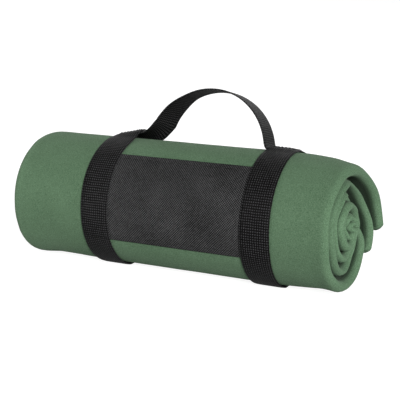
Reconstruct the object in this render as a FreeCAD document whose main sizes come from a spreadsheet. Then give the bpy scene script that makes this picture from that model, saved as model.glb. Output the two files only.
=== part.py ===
import FreeCAD, Part
import math
import os
import Sketcher

# A fleece camp blanket, folded to a strip and rolled, in a webbing carrier:
# two straps round the roll, a carrying handle between them, a fabric panel at the
# front and a hook-and-loop closure at the back of each strap.
# +X runs along the roll, +Y to the back, +Z up. The origin is on the ground, in the
# middle of the whole object's length and depth.
# Angles go round the roll's axis: 0 at the back, 90 at the top, 180 at the front.

DIMENSIONS = [
    # the rolled blanket
    ("roll_length", 375.0),
    ("roll_radius", 65.0),
    ("roll_flat_drop", 62.0),        # from the axis down to the flattened underside
    ("left_shoulder", 28.0),         # rounding of the closed, folded end
    ("right_shoulder", 16.0),        # rounding of the end where the two leaves show
    ("tail_angle", -16.5),           # where the outermost leaf ends
    ("tail_step", 6.0),              # height of the step at that end
    ("under_tail_radius", 63.5),     # bend of the turn that comes up to the step
    ("edge_thread", 0.6),
    ("edge_thread_height", 4.0),
    ("edge_thread_inset", 4.0),      # from each end of the roll
    # webbing and the front panel
    ("webbing_width", 30.0),
    ("webbing_thickness", 1.5),
    ("slide_gap", 0.3),              # between pieces that move past each other
    ("panel_thickness", 0.7),
    ("left_strap_middle", -77.0),
    ("right_strap_middle", 97.0),
    ("panel_bottom_angle", 203.5),
    ("panel_top_angle", 121.5),
    ("panel_under_strap", 24.0),     # how far the panel reaches under each strap
    # thread rows
    ("thread", 0.6),
    ("thread_height", 0.3),
    ("seam_inset", 3.0),
    ("seam_inset_angle", 2.0),       # of the panel's seams from the panel's edges
    ("tape_seam_inset", 4.0),        # of the tapes' seams from the webbing's sides
    ("tape_seam_angle", 1.5),
    ("hem_inset_angle", 5.0),
    # closure at the back
    ("closure_top_angle", 26.0),
    ("closure_bottom_angle", -30.0),
    ("tape_top_angle", 20.0),
    ("tape_bottom_angle", -26.0),
    ("tape_thickness", 0.8),
    ("tape_inset", 2.5),             # of the tape's sides from the webbing's sides
    ("closure_gap_angle", 0.5),
    ("strap_end_angle", 3.0),        # of the strap's under end from the ramp's foot
    # handle
    ("handle_lean", 14.0),
    ("handle_middle", 15.0),
    ("arch_radius", 60.2),
    ("arch_centre_height", 58.1),    # from the roll's axis, in the handle's own plane
    ("bend_height", 20.0),           # of the soft bend that the grip swings on
    ("foot_stitch_size", 22.0),
]

doc = FreeCAD.newDocument("camp_blanket")
sheet = doc.addObject("Spreadsheet::Sheet", "Dims")
for row, (alias, value) in enumerate(DIMENSIONS, start=1):
    sheet.set("A%d" % row, alias)
    sheet.set("B%d" % row, str(value))
    sheet.setAlias("B%d" % row, alias)

# radii of the layers, outwards from the blanket, and places that follow from them
DERIVED = [
    ("panel_inner", "roll_radius + slide_gap"),
    ("strap_inner", "panel_inner + panel_thickness"),
    ("strap_outer", "strap_inner + webbing_thickness"),
    ("seam_outer", "strap_outer + thread_height"),
    ("loop_outer", "strap_outer + tape_thickness"),
    ("loop_thread_outer", "loop_outer + thread_height"),
    ("hook_inner", "loop_thread_outer + slide_gap"),
    ("tab_inner", "hook_inner + tape_thickness"),
    ("tab_outer", "tab_inner + webbing_thickness"),
    ("tab_thread_outer", "tab_outer + thread_height"),
    ("foot_outer", "strap_outer + webbing_thickness"),
    ("foot_thread_outer", "foot_outer + thread_height"),
    ("strap_inner_flat", "roll_flat_drop + strap_inner - roll_radius"),
    ("axis_height", "strap_inner_flat + webbing_thickness"),
    ("axis_depth", "(seam_outer - tab_thread_outer) / 2"),
    ("left_strap_edge", "left_strap_middle - webbing_width / 2"),
    ("right_strap_edge", "right_strap_middle - webbing_width / 2"),
    ("panel_left", "left_strap_edge + webbing_width - panel_under_strap"),
    ("panel_width", "right_strap_edge + panel_under_strap - panel_left"),
    ("foot_middle_angle", "90 - handle_lean"),
]
for row, (alias, formula) in enumerate(DERIVED, start=len(DIMENSIONS) + 1):
    sheet.set("A%d" % row, alias)
    sheet.set("B%d" % row, "=" + formula)
    sheet.setAlias("B%d" % row, alias)
doc.recompute()

ORIGIN_POINT = (-1, 1)      # Sketcher's name for a sketch's own origin
START, END, CENTRE = 1, 2, 3


def dim(name):
    """The value of a cell of the sheet."""
    return float(sheet.get(name))


def cells(expression):
    """An expression in plain cell names, as FreeCAD's expression engine wants it."""
    names = [alias for alias, _ in DIMENSIONS + DERIVED]
    words = []
    word = ""
    for letter in expression + " ":
        if letter.isalnum() or letter == "_":
            word += letter
            continue
        words.append("Dims." + word if word in names else word)
        words.append(letter)
        word = ""
    return "".join(words).strip()


def worked_out(expression):
    """The number that an expression in cell names gives."""
    return float(FreeCAD.Units.Quantity(sheet.evalExpression(cells(expression))).Value)


def new_body(label, x_start="0", lean=None):
    """A body whose own origin is on the roll's axis, starting at x_start."""
    body = doc.addObject("PartDesign::Body", label)
    body.Label = label
    if lean:
        body.Placement.Rotation = FreeCAD.Rotation(FreeCAD.Vector(-1, 0, 0), dim(lean))
        body.setExpression("Placement.Rotation.Angle", cells(lean) + " * 1 deg")
    body.setExpression("Placement.Base.x", cells(x_start))
    body.setExpression("Placement.Base.y", cells("axis_depth"))
    body.setExpression("Placement.Base.z", cells("axis_height"))
    return body


def new_sketch(body, role, name):
    """A sketch on one of the body's own origin planes."""
    plane = [f for f in body.Origin.OriginFeatures if f.Role == role][0]
    sketch = body.newObject("Sketcher::SketchObject", name)
    sketch.AttachmentSupport = [(plane, "")]
    sketch.MapMode = "FlatFace"
    return sketch


def bind(sketch, constraint, expression):
    """Add a driving constraint and bind its value to the sheet."""
    index = sketch.addConstraint(constraint)
    sketch.setExpression("Constraints[%d]" % index, expression)


def polar(radius, angle):
    """A point of the sketch plane, by its distance and angle from the origin."""
    turn = math.radians(angle)
    return FreeCAD.Vector(radius * math.cos(turn), radius * math.sin(turn), 0)


def add_line(sketch, start, end):
    return sketch.addGeometry(Part.LineSegment(start, end), False)


def add_arc(sketch, radius, first, last, centre=FreeCAD.Vector()):
    """An arc that runs anticlockwise from the angle first to the angle last."""
    circle = Part.Circle(centre, FreeCAD.Vector(0, 0, 1), radius)
    arc = Part.ArcOfCircle(circle, math.radians(first), math.radians(last))
    return sketch.addGeometry(arc, False)


def join(sketch, first, first_end, second, second_end):
    sketch.addConstraint(Sketcher.Constraint("Coincident", first, first_end, second, second_end))


def centre_on_origin(sketch, arc):
    join(sketch, arc, CENTRE, *ORIGIN_POINT)


def set_radius(sketch, arc, expression):
    bind(sketch, Sketcher.Constraint("Radius", arc, worked_out(expression)), cells(expression))


def radial(sketch, line, angle):
    """Make a line point away from the origin at an angle bound to the sheet."""
    sketch.addConstraint(Sketcher.Constraint("PointOnObject", *ORIGIN_POINT, line))
    turn = math.radians(worked_out(angle))
    bind(sketch, Sketcher.Constraint("Angle", line, turn), "(%s) * 1 deg" % cells(angle))


def pad(body, sketch, width, both_sides=False):
    """Pad a sketch along its normal by a width bound to the sheet."""
    feature = body.newObject("PartDesign::Pad", body.Label + "_pad")
    feature.Profile = sketch
    feature.setExpression("Length", cells(width))
    feature.Midplane = both_sides
    sketch.Visibility = False
    return feature


def sector(label, inner, outer, first, last, x_start, width):
    """A piece that follows the roll: a stretch of a ring, padded along X."""
    body = new_body(label, x_start)
    sketch = new_sketch(body, "YZ_Plane", label + "_profile")
    low, high = worked_out(first), worked_out(last)
    near, far = worked_out(inner), worked_out(outer)
    inside = add_arc(sketch, near, low, high)
    outside = add_arc(sketch, far, low, high)
    lower = add_line(sketch, polar(near, low), polar(far, low))
    upper = add_line(sketch, polar(near, high), polar(far, high))
    for end, line in ((START, lower), (END, upper)):
        join(sketch, inside, end, line, START)
        join(sketch, outside, end, line, END)
    for arc, radius in ((inside, inner), (outside, outer)):
        centre_on_origin(sketch, arc)
        set_radius(sketch, arc, radius)
    radial(sketch, lower, first)
    radial(sketch, upper, last)
    pad(body, sketch, width)
    return body


def stitched_frame(label, inner, outer, first, last, x_start, width):
    """One closed row of thread round a rectangle that lies on the roll."""
    across = "thread / (%s) * 180 / pi" % inner
    whole = sector(label + "_outline", inner, outer, first, last, x_start, width)
    window = sector(
        label + "_window",
        inner + " - thread",
        outer + " + thread",
        "%s + %s" % (first, across),
        "%s - %s" % (last, across),
        x_start + " + thread",
        "(%s) - 2 * thread" % width,
    )
    frame = doc.addObject("Part::Cut", label)
    frame.Label = label
    frame.Base = whole
    frame.Tool = window
    return frame


def blanket_roll(label):
    """The folded strip, rolled up: round, flat underneath, with a step at its tail."""
    body = new_body(label, "-roll_length / 2")
    radius, drop = dim("roll_radius"), dim("roll_flat_drop")
    flat_half = math.sqrt(radius**2 - drop**2)
    flat_front = math.degrees(math.atan2(-drop, -flat_half)) % 360
    tail = dim("tail_angle")
    step_foot = polar(radius - dim("tail_step"), tail)
    flat_back = FreeCAD.Vector(flat_half, -drop, 0)

    sketch = new_sketch(body, "YZ_Plane", label + "_profile")
    outer = add_arc(sketch, radius, tail, flat_front)
    flat = add_line(sketch, polar(radius, flat_front), flat_back)
    bend = dim("under_tail_radius")
    middle = (flat_back + step_foot) * 0.5
    chord = step_foot - flat_back
    inward = FreeCAD.Vector(-chord.y, chord.x, 0).normalize()
    centre = middle + inward * math.sqrt(bend**2 - (chord.Length / 2) ** 2)
    first = math.degrees(math.atan2(flat_back.y - centre.y, flat_back.x - centre.x))
    last = math.degrees(math.atan2(step_foot.y - centre.y, step_foot.x - centre.x))
    under = add_arc(sketch, bend, first, last, centre)
    step = add_line(sketch, step_foot, polar(radius, tail))
    join(sketch, outer, END, flat, START)
    join(sketch, flat, END, under, START)
    join(sketch, under, END, step, START)
    join(sketch, step, END, outer, START)
    centre_on_origin(sketch, outer)
    set_radius(sketch, outer, "roll_radius")
    set_radius(sketch, under, "under_tail_radius")
    sketch.addConstraint(Sketcher.Constraint("Horizontal", flat))
    bind(
        sketch,
        Sketcher.Constraint("DistanceY", flat, END, *ORIGIN_POINT, drop),
        cells("roll_flat_drop"),
    )
    radial(sketch, step, "tail_angle")
    bind(sketch, Sketcher.Constraint("Distance", step, dim("tail_step")), cells("tail_step"))
    bind(
        sketch,
        Sketcher.Constraint("DistanceX", *ORIGIN_POINT, flat, END, flat_half),
        cells("sqrt(roll_radius ^ 2 - roll_flat_drop ^ 2)"),
    )
    pad(body, sketch, "roll_length")
    round_end(body, "left", "left_shoulder", 0.0, 1)
    round_end(body, "right", "right_shoulder", dim("roll_length"), -1)
    return body


def round_end(body, side, shoulder, end_x, inward):
    """Round one end of the roll all the way round, by turning off its corner."""
    radius, size = dim("roll_radius"), dim(shoulder)
    centre = FreeCAD.Vector(end_x + inward * size, radius - size, 0)
    corner = FreeCAD.Vector(end_x, radius, 0)
    on_end = FreeCAD.Vector(end_x, radius - size, 0)
    on_side = FreeCAD.Vector(end_x + inward * size, radius, 0)
    sketch = new_sketch(body, "XZ_Plane", side + "_shoulder_profile")
    quarter = add_arc(sketch, size, *((90, 180) if inward > 0 else (0, 90)), centre)
    end_line = add_line(sketch, on_end, corner)
    side_line = add_line(sketch, corner, on_side)
    side_tip, end_tip = (START, END) if inward > 0 else (END, START)
    join(sketch, quarter, end_tip, end_line, START)
    join(sketch, end_line, END, side_line, START)
    join(sketch, side_line, END, quarter, side_tip)
    sketch.addConstraint(Sketcher.Constraint("Vertical", end_line))
    sketch.addConstraint(Sketcher.Constraint("Horizontal", side_line))
    set_radius(sketch, quarter, shoulder)
    for place, value, cell in (
        ("DistanceX", end_x, "roll_length" if inward < 0 else "0"),
        ("DistanceY", radius, "roll_radius"),
    ):
        bind(
            sketch,
            Sketcher.Constraint(place, *ORIGIN_POINT, end_line, END, value),
            cells(cell),
        )
    for line, cell in ((end_line, shoulder), (side_line, shoulder)):
        bind(sketch, Sketcher.Constraint("Distance", line, size), cells(cell))
    groove = body.newObject("PartDesign::Groove", side + "_shoulder")
    groove.Profile = sketch
    groove.ReferenceAxis = (sketch, ["H_Axis"])
    groove.Angle = 360
    sketch.Visibility = False


def strap(label, x_start):
    """One length of webbing round the roll, open where its two ends overlap."""
    body = new_body(label, x_start)
    sketch = new_sketch(body, "YZ_Plane", label + "_profile")
    near, far = dim("strap_inner"), dim("strap_outer")
    drop_in, drop_out = dim("strap_inner_flat"), dim("axis_height")
    half_in = math.sqrt(near**2 - drop_in**2)
    half_out = math.sqrt(far**2 - drop_out**2)
    ramp_foot_in, ramp_foot_out = dim("tab_inner"), dim("tab_outer")
    ramp_angle = worked_out("closure_top_angle + closure_gap_angle")
    leave_in = ramp_angle + math.degrees(math.acos(near / ramp_foot_in))
    leave_out = ramp_angle + math.degrees(math.acos(far / ramp_foot_out))
    tip = worked_out("closure_top_angle - strap_end_angle")

    def below(half, drop):
        return math.degrees(math.atan2(-drop, half))

    back_in, back_out = below(half_in, drop_in), below(half_out, drop_out)
    front_in, front_out = 180 - back_in, 180 - back_out
    in_back = add_arc(sketch, near, back_in, tip)
    in_front = add_arc(sketch, near, leave_in, front_in)
    out_back = add_arc(sketch, far, back_out, tip)
    out_front = add_arc(sketch, far, leave_out, front_out)
    in_flat = add_line(sketch, polar(near, front_in), polar(near, back_in))
    out_flat = add_line(sketch, polar(far, front_out), polar(far, back_out))
    in_ramp = add_line(sketch, polar(near, leave_in), polar(ramp_foot_in, ramp_angle))
    out_ramp = add_line(sketch, polar(far, leave_out), polar(ramp_foot_out, ramp_angle))
    tip_line = add_line(sketch, polar(near, tip), polar(far, tip))
    ramp_end = add_line(sketch, polar(ramp_foot_in, ramp_angle), polar(ramp_foot_out, ramp_angle))

    for back, front, flat, ramp, tip_end in (
        (in_back, in_front, in_flat, in_ramp, START),
        (out_back, out_front, out_flat, out_ramp, END),
    ):
        join(sketch, front, END, flat, START)
        join(sketch, flat, END, back, START)
        join(sketch, back, END, tip_line, tip_end)
        join(sketch, ramp, END, ramp_end, tip_end)
        sketch.addConstraint(Sketcher.Constraint("Tangent", front, START, ramp, START))
        sketch.addConstraint(Sketcher.Constraint("Horizontal", flat))
    for arcs, radius in (
        ((in_back, in_front), "strap_inner"),
        ((out_back, out_front), "strap_outer"),
    ):
        for arc in arcs:
            centre_on_origin(sketch, arc)
            set_radius(sketch, arc, radius)
    for flat, drop, cell in (
        (in_flat, drop_in, "strap_inner_flat"),
        (out_flat, drop_out, "axis_height"),
    ):
        bind(
            sketch,
            Sketcher.Constraint("DistanceY", flat, END, *ORIGIN_POINT, drop),
            cells(cell),
        )
    radial(sketch, tip_line, "closure_top_angle - strap_end_angle")
    radial(sketch, ramp_end, "closure_top_angle + closure_gap_angle")
    bind(
        sketch,
        Sketcher.Constraint("Distance", ramp_end, START, *ORIGIN_POINT, ramp_foot_in),
        cells("tab_inner"),
    )
    bind(
        sketch,
        Sketcher.Constraint("Distance", ramp_end, dim("webbing_thickness")),
        cells("webbing_thickness"),
    )
    pad(body, sketch, "webbing_width")
    return body


def arch(label, first, last):
    """A stretch of the handle's webbing, bent to an arc in the handle's own plane."""
    body = new_body(label, "handle_middle", lean="handle_lean")
    sketch = new_sketch(body, "XZ_Plane", label + "_profile")
    centre = FreeCAD.Vector(0, dim("arch_centre_height"), 0)
    near, far = "arch_radius - webbing_thickness / 2", "arch_radius + webbing_thickness / 2"
    low, high = worked_out(first), worked_out(last)
    inside = add_arc(sketch, worked_out(near), low, high, centre)
    outside = add_arc(sketch, worked_out(far), low, high, centre)
    ends = []
    for angle, end in ((low, START), (high, END)):
        line = add_line(
            sketch,
            centre + polar(worked_out(near), angle),
            centre + polar(worked_out(far), angle),
        )
        join(sketch, inside, end, line, START)
        join(sketch, outside, end, line, END)
        ends.append(line)
    join(sketch, inside, CENTRE, outside, CENTRE)
    set_radius(sketch, inside, near)
    set_radius(sketch, outside, far)
    sketch.addConstraint(Sketcher.Constraint("PointOnObject", inside, CENTRE, -2))
    bind(
        sketch,
        Sketcher.Constraint("DistanceY", *ORIGIN_POINT, inside, CENTRE, centre.y),
        cells("arch_centre_height"),
    )
    for line, angle in zip(ends, (first, last)):
        sketch.addConstraint(Sketcher.Constraint("PointOnObject", inside, CENTRE, line))
        turn = math.radians(worked_out(angle))
        bind(sketch, Sketcher.Constraint("Angle", line, turn), "(%s) * 1 deg" % cells(angle))
    pad(body, sketch, "webbing_width", both_sides=True)
    return body


def mirrored_angles(first, last):
    """The same stretch on the other side of the arch."""
    return "180 - (%s)" % last, "180 - (%s)" % first


parts = []

# the blanket and the thread over its cut edge
parts.append(blanket_roll("blanket_roll"))
parts.append(
    sector(
        "blanket_edge_stitching",
        "roll_radius - tail_step + (tail_step - edge_thread_height) / 2",
        "roll_radius - (tail_step - edge_thread_height) / 2",
        "tail_angle - edge_thread / roll_radius * 180 / pi",
        "tail_angle",
        "left_shoulder + edge_thread_inset - roll_length / 2",
        "roll_length - left_shoulder - right_shoulder - 2 * edge_thread_inset",
    )
)

# the front panel and the thread in its hems
parts.append(
    sector(
        "front_panel",
        "panel_inner",
        "strap_inner",
        "panel_top_angle",
        "panel_bottom_angle",
        "panel_left",
        "panel_width",
    )
)
parts.append(
    stitched_frame(
        "panel_hem_stitching",
        "strap_inner",
        "strap_inner + thread_height",
        "panel_top_angle + hem_inset_angle",
        "panel_bottom_angle - hem_inset_angle",
        "left_strap_edge + webbing_width + seam_inset",
        "right_strap_edge - left_strap_edge - webbing_width - 2 * seam_inset",
    )
)

# both straps, with everything that is sewn to them
FOOT_HALF = "webbing_width / 2 / strap_outer * 180 / pi"
STITCH_HALF = "foot_stitch_size / 2 / foot_outer * 180 / pi"
for side in ("left", "right"):
    edge = side + "_strap_edge"
    parts.append(strap(side + "_strap", edge))
    parts.append(
        stitched_frame(
            side + "_panel_seam",
            "strap_outer",
            "seam_outer",
            "panel_top_angle + seam_inset_angle",
            "panel_bottom_angle - seam_inset_angle",
            edge + " + seam_inset",
            "webbing_width - 2 * seam_inset",
        )
    )
    parts.append(
        sector(
            side + "_loop_tape",
            "strap_outer",
            "loop_outer",
            "tape_bottom_angle",
            "tape_top_angle",
            edge + " + tape_inset",
            "webbing_width - 2 * tape_inset",
        )
    )
    parts.append(
        stitched_frame(
            side + "_loop_stitching",
            "loop_outer",
            "loop_thread_outer",
            "tape_bottom_angle + tape_seam_angle",
            "tape_top_angle - tape_seam_angle",
            edge + " + tape_seam_inset",
            "webbing_width - 2 * tape_seam_inset",
        )
    )
    parts.append(
        sector(
            side + "_closure_tab",
            "tab_inner",
            "tab_outer",
            "closure_bottom_angle",
            "closure_top_angle",
            edge,
            "webbing_width",
        )
    )
    parts.append(
        sector(
            side + "_hook_tape",
            "hook_inner",
            "tab_inner",
            "tape_bottom_angle",
            "tape_top_angle",
            edge + " + tape_inset",
            "webbing_width - 2 * tape_inset",
        )
    )
    parts.append(
        stitched_frame(
            side + "_hook_stitching",
            "tab_outer",
            "tab_thread_outer",
            "tape_bottom_angle + tape_seam_angle",
            "tape_top_angle - tape_seam_angle",
            edge + " + tape_seam_inset",
            "webbing_width - 2 * tape_seam_inset",
        )
    )
    parts.append(
        stitched_frame(
            "handle_%s_foot_stitching" % side,
            "foot_outer",
            "foot_thread_outer",
            "foot_middle_angle - " + STITCH_HALF,
            "foot_middle_angle + " + STITCH_HALF,
            side + "_strap_middle - foot_stitch_size / 2",
            "foot_stitch_size",
        )
    )

# the handle: two sewn feet, the soft bends above them, and the grip
arch_foot_angle = "asin((foot_outer + slide_gap - arch_centre_height) / arch_radius) / 1 deg"
arch_bend_angle = "asin((strap_outer + bend_height - arch_centre_height) / arch_radius) / 1 deg"
left_foot_end = "handle_middle - sqrt(arch_radius ^ 2 - (foot_outer - arch_centre_height) ^ 2)"
right_foot_start = "handle_middle + sqrt(arch_radius ^ 2 - (foot_outer - arch_centre_height) ^ 2)"
FOOT_SPANS = {
    "left": ("left_strap_edge", "%s + webbing_thickness - left_strap_edge" % left_foot_end),
    "right": (
        "%s - webbing_thickness" % right_foot_start,
        "right_strap_edge + webbing_width + webbing_thickness - (%s)" % right_foot_start,
    ),
}
for side, (foot_start, foot_length) in FOOT_SPANS.items():
    parts.append(
        sector(
            "handle_%s_foot" % side,
            "strap_outer",
            "foot_outer",
            "foot_middle_angle - " + FOOT_HALF,
            "foot_middle_angle + " + FOOT_HALF,
            foot_start,
            foot_length,
        )
    )
bend_end = arch_bend_angle + " - closure_gap_angle"
parts.append(arch("handle_right_bend", arch_foot_angle, bend_end))
parts.append(arch("handle_left_bend", *mirrored_angles(arch_foot_angle, bend_end)))
parts.append(arch("handle_grip", arch_bend_angle, "180 - " + arch_bend_angle))

doc.recompute()

for item in doc.Objects:
    if "Invalid" in item.State or "Error" in item.State:
        raise RuntimeError("%s could not be built: %s" % (item.Label, item.State))
os.makedirs("parts", exist_ok=True)
for part in parts:
    if part.Shape.isNull() or not part.Shape.isValid():
        raise RuntimeError(part.Label + " has no valid shape")
    part.Shape.exportStep("parts/%s.step" % part.Label)
    box = part.Shape.BoundBox
    sides = (box.XMin, box.XMax, box.YMin, box.YMax, box.ZMin, box.ZMax)
    volume = part.Shape.Volume / 1000
    print("%-30s %7.2f cm3" % (part.Label, volume), " ".join("%.1f" % side for side in sides))
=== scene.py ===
"""The looks of a rolled fleece camp blanket in its webbing carrier."""
import bpy
import math
import numpy as np
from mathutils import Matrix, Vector


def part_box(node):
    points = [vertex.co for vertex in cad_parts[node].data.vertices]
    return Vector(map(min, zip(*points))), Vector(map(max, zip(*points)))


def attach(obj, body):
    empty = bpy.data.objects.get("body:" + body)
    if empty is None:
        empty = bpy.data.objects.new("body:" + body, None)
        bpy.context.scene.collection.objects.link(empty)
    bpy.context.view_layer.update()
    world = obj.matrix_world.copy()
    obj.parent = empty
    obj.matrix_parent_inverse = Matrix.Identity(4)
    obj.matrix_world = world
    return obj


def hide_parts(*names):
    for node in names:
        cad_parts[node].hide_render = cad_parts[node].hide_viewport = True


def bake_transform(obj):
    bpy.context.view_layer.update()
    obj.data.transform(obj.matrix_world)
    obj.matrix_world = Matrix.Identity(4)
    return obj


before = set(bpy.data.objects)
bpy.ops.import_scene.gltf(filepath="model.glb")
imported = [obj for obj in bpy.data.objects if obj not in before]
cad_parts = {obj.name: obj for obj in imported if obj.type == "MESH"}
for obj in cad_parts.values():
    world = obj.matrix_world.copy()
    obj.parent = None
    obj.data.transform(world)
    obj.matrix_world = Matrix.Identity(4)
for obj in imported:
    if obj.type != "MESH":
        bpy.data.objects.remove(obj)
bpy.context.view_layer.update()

MM = 0.001
DEGREE = math.pi / 180
FULL_TURN = 2 * math.pi

# ---------------------------------------------------------------- places from the frame
roll_low, roll_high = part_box("blanket_roll")
LENGTH = roll_high.x - roll_low.x
HALF = LENGTH / 2
RADIUS = 65 * MM
AXIS_Y = roll_low.y + RADIUS
AXIS_Z = roll_high.z - RADIUS
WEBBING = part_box("left_strap")[1].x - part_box("left_strap")[0].x
THICK = 1.5 * MM                    # of the webbing
TAPE = 0.8 * MM                     # of the hook tape and of the loop tape
STRAPS = {side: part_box(side + "_strap")[0].x for side in ("left", "right")}
STRAP_IN = RADIUS + 1.0 * MM
STRAP_OUT = STRAP_IN + THICK
TAB_IN = RADIUS + 4.7 * MM
TAB_MIDDLE = TAB_IN + THICK / 2
HANDLE_ANGLE = 76 * DEGREE          # the handle's plane, which leans a little to the back
HANDLE_MIDDLE = 15 * MM             # half way between its feet, along the roll
PANEL_TOP, PANEL_BOTTOM = 121.5 * DEGREE, 203.5 * DEGREE
CLOSURE_TOP, CLOSURE_BOTTOM = 26 * DEGREE, -30 * DEGREE


def smooth(value, low=0.0, high=1.0):
    """0 below low, 1 above high, and a smooth step between."""
    t = np.clip((np.asarray(value, float) - low) / (high - low), 0, 1)
    return t * t * (3 - 2 * t)


def bump(value, middle, width):
    """A soft hump: 1 at the middle, gone by about two widths away."""
    return np.exp(-(((np.asarray(value, float) - middle) / width) ** 2))


def on_roll(x, radius, angle):
    """Points at a distance and an angle from the roll's axis. 0 is the back, 90 degrees the top."""
    x, radius, angle = np.broadcast_arrays(x, radius, angle)
    return np.stack([x, AXIS_Y + radius * np.cos(angle), AXIS_Z + radius * np.sin(angle)], -1)


# ---------------------------------------------------------------- mesh builders
def make_mesh(name, points, faces, material, uv=None, painted_light=None):
    """A smooth-shaded object, with a UV map and a painted shade or highlight for each point where they
    are given.
    """
    mesh = bpy.data.meshes.new(name)
    mesh.from_pydata([tuple(p) for p in points], [], faces)
    mesh.validate()
    if uv is not None:
        layer = mesh.uv_layers.new(name="weave")
        index = np.zeros(len(mesh.loops), np.int32)
        mesh.loops.foreach_get("vertex_index", index)
        layer.data.foreach_set("uv", np.asarray(uv, np.float32)[index].ravel())
    # each point's painted shade or painted highlight, as a share of the colour
    if painted_light is not None:
        values = mesh.attributes.new("painted_light", "FLOAT", "POINT")
        values.data.foreach_set("value", np.asarray(painted_light, np.float32))
    mesh.polygons.foreach_set("use_smooth", [True] * len(mesh.polygons))
    piece = bpy.data.objects.new(name, mesh)
    bpy.context.scene.collection.objects.link(piece)
    mesh.materials.append(material)
    return piece


def grid_faces(rows, columns, start, flip):
    """The four-sided faces of a grid of points that are numbered from start, row by row."""
    i, j = np.meshgrid(np.arange(rows - 1), np.arange(columns - 1), indexing="ij")
    corner = (start + i * columns + j).ravel()
    faces = np.stack([corner, corner + columns, corner + columns + 1, corner + 1], -1)
    return (faces[:, ::-1] if flip else faces).tolist()


def shell(name, upper, lower, rim, material, uv=None, painted_light_grids=None):
    """A closed sheet between two grids of points, with its four edges rounded by rim."""
    rows, columns = upper.shape[:2]
    edge = [(0, j) for j in range(columns)]
    edge += [(i, columns - 1) for i in range(1, rows)]
    edge += [(rows - 1, j) for j in range(columns - 2, -1, -1)]
    edge += [(i, 0) for i in range(rows - 2, 0, -1)]
    middle = (upper + lower) / 2
    rim_points = []
    for i, j in edge:
        inner = middle[min(max(i, 1), rows - 2), min(max(j, 1), columns - 2)]
        out = middle[i, j] - inner
        rim_points.append(middle[i, j] + out / (np.linalg.norm(out) + 1e-9) * rim)
    count = rows * columns
    points = np.concatenate([upper.reshape(-1, 3), lower.reshape(-1, 3), rim_points])
    faces = grid_faces(rows, columns, 0, False) + grid_faces(rows, columns, count, True)
    for k in range(len(edge)):
        (i, j), (p, q) = edge[k], edge[(k + 1) % len(edge)]
        top, top_next = i * columns + j, p * columns + q
        side, side_next = 2 * count + k, 2 * count + (k + 1) % len(edge)
        faces.append([top, top_next, side_next, side])
        faces.append([side, side_next, top_next + count, top + count])
    if uv is not None:
        flat = uv.reshape(-1, 2)
        uv = np.concatenate([flat, flat, [uv[i, j] for i, j in edge]])
    if painted_light_grids is not None:
        painted_light_grids = np.concatenate([painted_light_grids[0].ravel(), painted_light_grids[1].ravel(), np.ones(len(edge))])
    return make_mesh(name, points, faces, material, uv, painted_light_grids)


def normals_of(grid):
    """The surface's direction at each point of a grid."""
    along, across = np.gradient(grid, axis=0), np.gradient(grid, axis=1)
    normal = np.cross(along, across)
    return normal / (np.linalg.norm(normal, axis=-1, keepdims=True) + 1e-12)


SELVEDGE = 0.6                      # how thick the webbing's sides are, as a share


def slab(name, grid, thickness, material, thin_sides=True):
    """Cloth or webbing of one thickness whose middle surface is a grid of points."""
    normal = normals_of(grid)
    rows, columns = grid.shape[:2]
    half = np.full((rows, columns, 1), thickness / 2)
    if thin_sides:
        half[:, 0] *= SELVEDGE
        half[:, -1] *= SELVEDGE
    step = np.linalg.norm(np.diff(grid[:, columns // 2], axis=0), axis=-1)
    side = np.linalg.norm(np.diff(grid[rows // 2], axis=0), axis=-1)
    along = np.concatenate([[0], np.cumsum(step)])
    across = np.concatenate([[0], np.cumsum(side)])
    uv = np.stack(np.meshgrid(along, across, indexing="ij"), -1)
    return shell(name, grid + normal * half, grid - normal * half, thickness * 0.25, material, uv)


THREAD_END = 0.55                   # a stitch's ends are this share as thick as its middle


def thread_mesh(name, paths, thickness, material, sides=6):
    """Short closed tubes of thread, one along each path of points."""
    points, faces = [], []
    for path in paths:
        path = np.asarray(path, float)
        along = np.gradient(path, axis=0)
        along /= np.linalg.norm(along, axis=-1, keepdims=True) + 1e-12
        helper = np.where(np.abs(along[:, :1]) > 0.8, [[0, 0, 1.0]], [[1.0, 0, 0]])
        first = np.cross(along, helper)
        first /= np.linalg.norm(first, axis=-1, keepdims=True) + 1e-12
        second = np.cross(along, first)
        count, base = len(path), len(points)
        for k in range(count):
            size = thickness / 2 * (THREAD_END if k in (0, count - 1) else 1.0)
            for s in range(sides):
                turn = FULL_TURN * s / sides
                out = math.cos(turn) * first[k] + math.sin(turn) * second[k]
                points.append(path[k] + size * out)
        for k in range(count - 1):
            for s in range(sides):
                a, b = base + k * sides + s, base + k * sides + (s + 1) % sides
                faces.append([a, b, b + sides, a + sides])
        faces.append([base + s for s in range(sides)][::-1])
        faces.append([base + (count - 1) * sides + s for s in range(sides)])
    return make_mesh(name, points, faces, material)


STITCH_GAP = 1.0 * MM
STITCH_LIFT = 0.12 * MM             # its middle surface above the cloth, near its ends
STITCH_CROWN = 0.22 * MM            # and half way
STITCH_DIP = 0.35 * MM              # its ends go this far into the cloth
STITCH_PLACES = np.array([0.06, 0.2, 0.5, 0.8, 0.94])
STITCH_HEIGHTS = np.array([-STITCH_DIP, STITCH_LIFT, STITCH_CROWN, STITCH_LIFT, -STITCH_DIP])


def stitches_along(surface, corners, length=2.8 * MM):
    """Stitches that follow straight runs between corners (u, v); surface(u, v, lift) gives points."""
    paths = []
    pitch = length + STITCH_GAP
    for (u0, v0), (u1, v1) in zip(corners[:-1], corners[1:]):
        line = surface(np.linspace(u0, u1, 60), np.linspace(v0, v1, 60), 0.0)
        run = np.linalg.norm(np.diff(line, axis=0), axis=-1).sum()
        count = max(1, round(run / pitch))
        for k in range(count):
            share = (k + STITCH_PLACES * length / pitch) / count
            paths.append(surface(u0 + (u1 - u0) * share, v0 + (v1 - v0) * share, STITCH_HEIGHTS))
    return paths


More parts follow.
